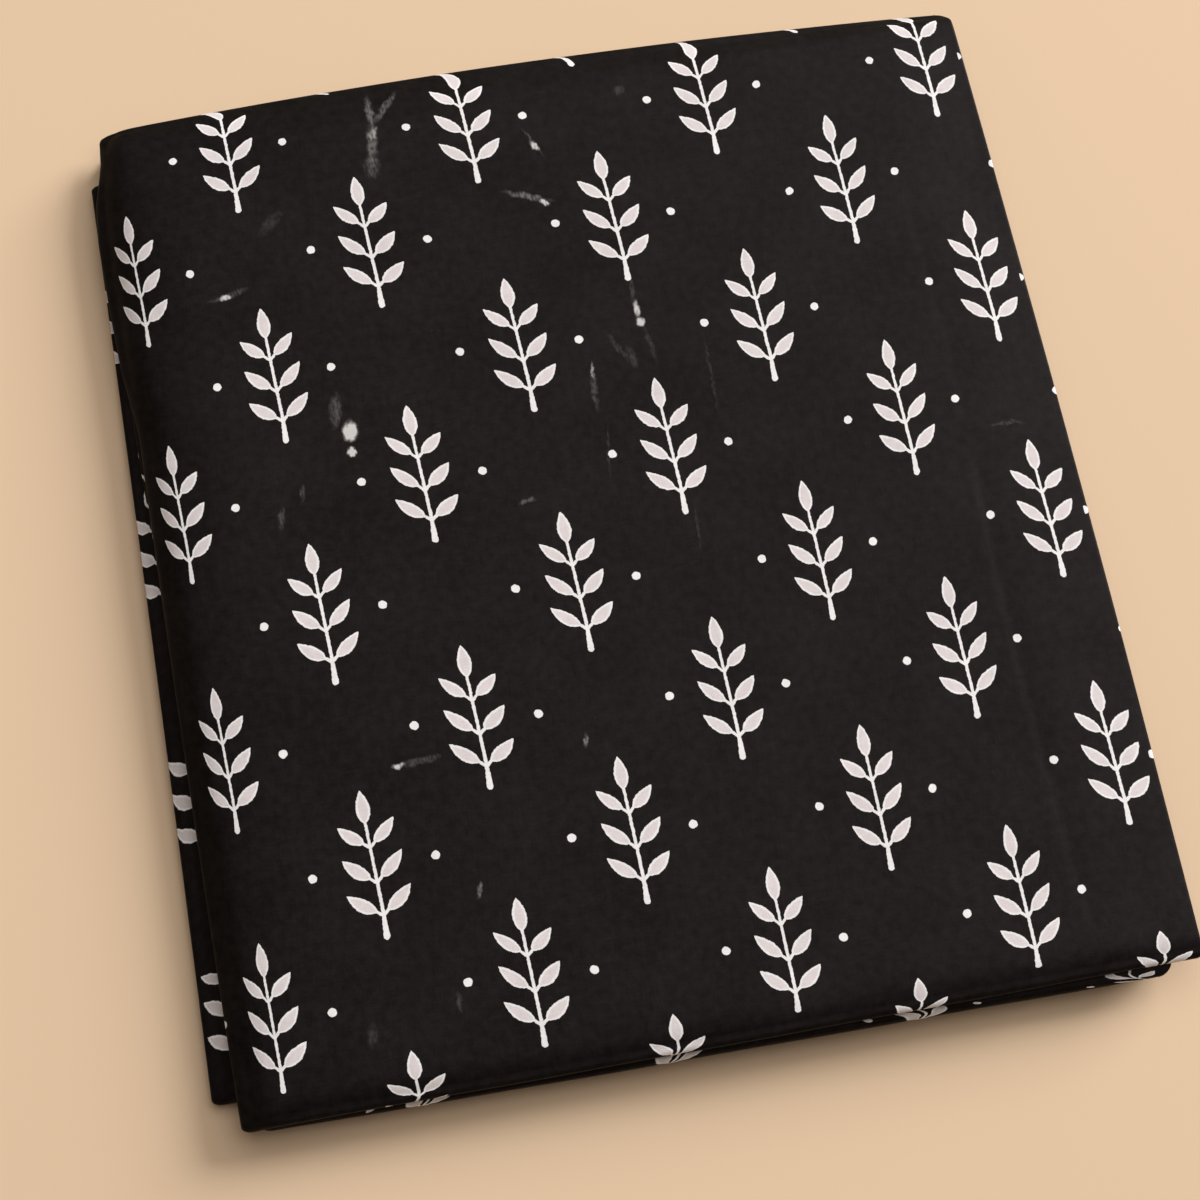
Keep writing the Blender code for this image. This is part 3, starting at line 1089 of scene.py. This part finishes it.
# %% The marks as a group
def mark_group():
    """A soft oval, from its strength in the middle to nothing a little beyond its half sizes."""
    group, (along, off, strength), end = new_group("rubbed mark", ("Along", "Off", "Strength"), ("Mask",))
    far = along * along + off * off
    soft = far.ramp(0.0, MARK_FADE, 1.0, 0.0)
    feed(group, end.inputs["Mask"], soft * soft * strength)
    return group


rubbed_mark = mark_group()


def all_marks_group():
    """Where the cloth is rubbed pale, from 0 to 1."""
    group, (across, along), end = new_group("rubbed marks", ("Across", "Along"), ("Mask",))
    flat_u = across * MILLIMETRES
    flat_v = along * MILLIMETRES
    u = flat_u + (noise(group, flat_u, flat_v, MARK_RAGGED_SIZES[0]) - 0.5) * MARK_RAGGED
    v = flat_v + (noise(group, flat_v, flat_u, MARK_RAGGED_SIZES[1]) - 0.5) * MARK_RAGGED
    place = place_vector(group, u, v)
    total = None
    for mark in MARKS:
        angle = math.radians(mark.degrees)
        way = (math.cos(angle), math.sin(angle))
        oval = along_and_off(group, place, mark.u, mark.v, *way, mark.half_length, mark.half_width)
        mask = place_group(group, rubbed_mark, *oval, mark.strength)[0]
        total = mask if total is None else total.larger(mask)
    streaks = noise(group, flat_u, flat_v * STREAK_STRETCH, STREAK_SIZE, 3.0).ramp(*STREAK_EDGES)
    powdery = total * (streaks * STREAK_SHARE + EVEN_SHARE + total * STRONG_SHARE)
    feed(group, end.inputs["Mask"], powdery.maths("MINIMUM", PALEST))
    return group


rubbed_marks = all_marks_group()
print("group of marks:", len(rubbed_marks.nodes), "nodes")

# %% [markdown]
# ## The printed face and the reverse
# The dye is nearly black and a little warm. The threads still shine faintly, so the black's own
# colour is very low and a soft gloss does the rest. The paint is chalky white, a little thinner in
# the middle of each leaf. On the reverse the cloth is a shade duller, and the print shows through
# as a faint grey ghost. Both are made from the same groups with their own values.

# %% Colours
Face = namedtuple("Face", "name dye paint thin_paint coverage roughness painted_roughness")
PRINTED_FACE = Face(
    name="black printed cotton",
    dye=(0.0034, 0.0029, 0.0028, 1.0),
    paint=(0.82, 0.80, 0.795, 1.0),
    thin_paint=(0.69, 0.63, 0.63, 1.0),
    coverage=1.0,
    roughness=0.52,
    painted_roughness=0.80,
)
REVERSE = Face(
    name="reverse of the printed cotton",
    dye=(0.0050, 0.0045, 0.0044, 1.0),
    paint=(0.10, 0.095, 0.092, 1.0),
    thin_paint=(0.085, 0.08, 0.078, 1.0),
    coverage=0.75,
    roughness=0.58,
    painted_roughness=0.75,
)
CHALK = (0.60, 0.58, 0.57, 1.0)
GLOSS = 0.137
GLOSS_TINT = (1.0, 0.83, 0.80, 1.0)
TONE_UNEVENNESS = 2.8
PAINT_UNEVENNESS = 0.07
SHINE_UNEVENNESS = 0.035
THREAD_DEPTH = 0.00002
print("threads stand out by", 1000.0 * THREAD_DEPTH, "mm")

# %% Mixed and shaded colours
COLOUR_A, COLOUR_B, COLOUR_RESULT = 6, 7, 2


def mix_colours(tree, share, low, high):
    """A Mix node has sockets for every kind of value, so those for colours go by their numbers."""
    node = tree.nodes.new("ShaderNodeMix")
    node.data_type = "RGBA"
    feed(tree, node.inputs["Factor"], share)
    for slot, value in ((node.inputs[COLOUR_A], low), (node.inputs[COLOUR_B], high)):
        if isinstance(value, bpy.types.NodeSocket):
            tree.links.new(value, slot)
        else:
            slot.default_value = value
    return node.outputs[COLOUR_RESULT]


def shaded(tree, colour, tone):
    """A colour times a number."""
    node = tree.nodes.new("ShaderNodeVectorMath")
    node.operation = "SCALE"
    if isinstance(colour, bpy.types.NodeSocket):
        tree.links.new(colour, node.inputs[0])
    else:
        node.inputs[0].default_value = colour[:3]
    feed(tree, node.inputs["Scale"], tone)
    return node.outputs["Vector"]


print("colour helpers ready")


# %% The cotton's two materials
def cotton(face):
    material = bpy.data.materials.new(face.name)
    material.use_nodes = True
    tree = material.node_tree
    shader = tree.nodes["Principled BSDF"]
    place = tree.nodes.new("ShaderNodeUVMap")
    place.uv_map = "flat cloth"
    parts = tree.nodes.new("ShaderNodeSeparateXYZ")
    tree.links.new(place.outputs["UV"], parts.inputs["Vector"])
    across, along = Wire(tree, parts.outputs["X"]), Wire(tree, parts.outputs["Y"])
    paint, fill = place_group(tree, block_print, across, along)
    height, tone = place_group(tree, plain_weave, across, along, TONE_UNEVENNESS)
    rubbed = place_group(tree, rubbed_marks, across, along)[0]
    covered = paint * face.coverage
    dye = shaded(tree, face.dye, tone)
    white = mix_colours(tree, fill, face.paint, face.thin_paint)
    white = shaded(tree, white, (tone - 1.0) * PAINT_UNEVENNESS + 1.0)
    colour = mix_colours(tree, covered, dye, white)
    colour = mix_colours(tree, rubbed, colour, CHALK)
    tree.links.new(colour, shader.inputs["Base Color"])
    rough = covered * (face.painted_roughness - face.roughness) + face.roughness
    feed(tree, shader.inputs["Roughness"], rough + (tone - 1.0) * -SHINE_UNEVENNESS)
    shader.inputs["Specular IOR Level"].default_value = GLOSS
    shader.inputs["Specular Tint"].default_value = GLOSS_TINT
    relief = tree.nodes.new("ShaderNodeBump")
    relief.inputs["Distance"].default_value = THREAD_DEPTH
    feed(tree, relief.inputs["Height"], height)
    tree.links.new(relief.outputs["Normal"], shader.inputs["Normal"])
    return material


for face in (PRINTED_FACE, REVERSE):
    cloth.data.materials.append(cotton(face))
wall.material_offset = 1
print("finishes:", [material.name for material in cloth.data.materials])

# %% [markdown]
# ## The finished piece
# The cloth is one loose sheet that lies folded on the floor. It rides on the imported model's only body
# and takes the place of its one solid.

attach(cloth, "root")
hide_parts("folded_cloth")
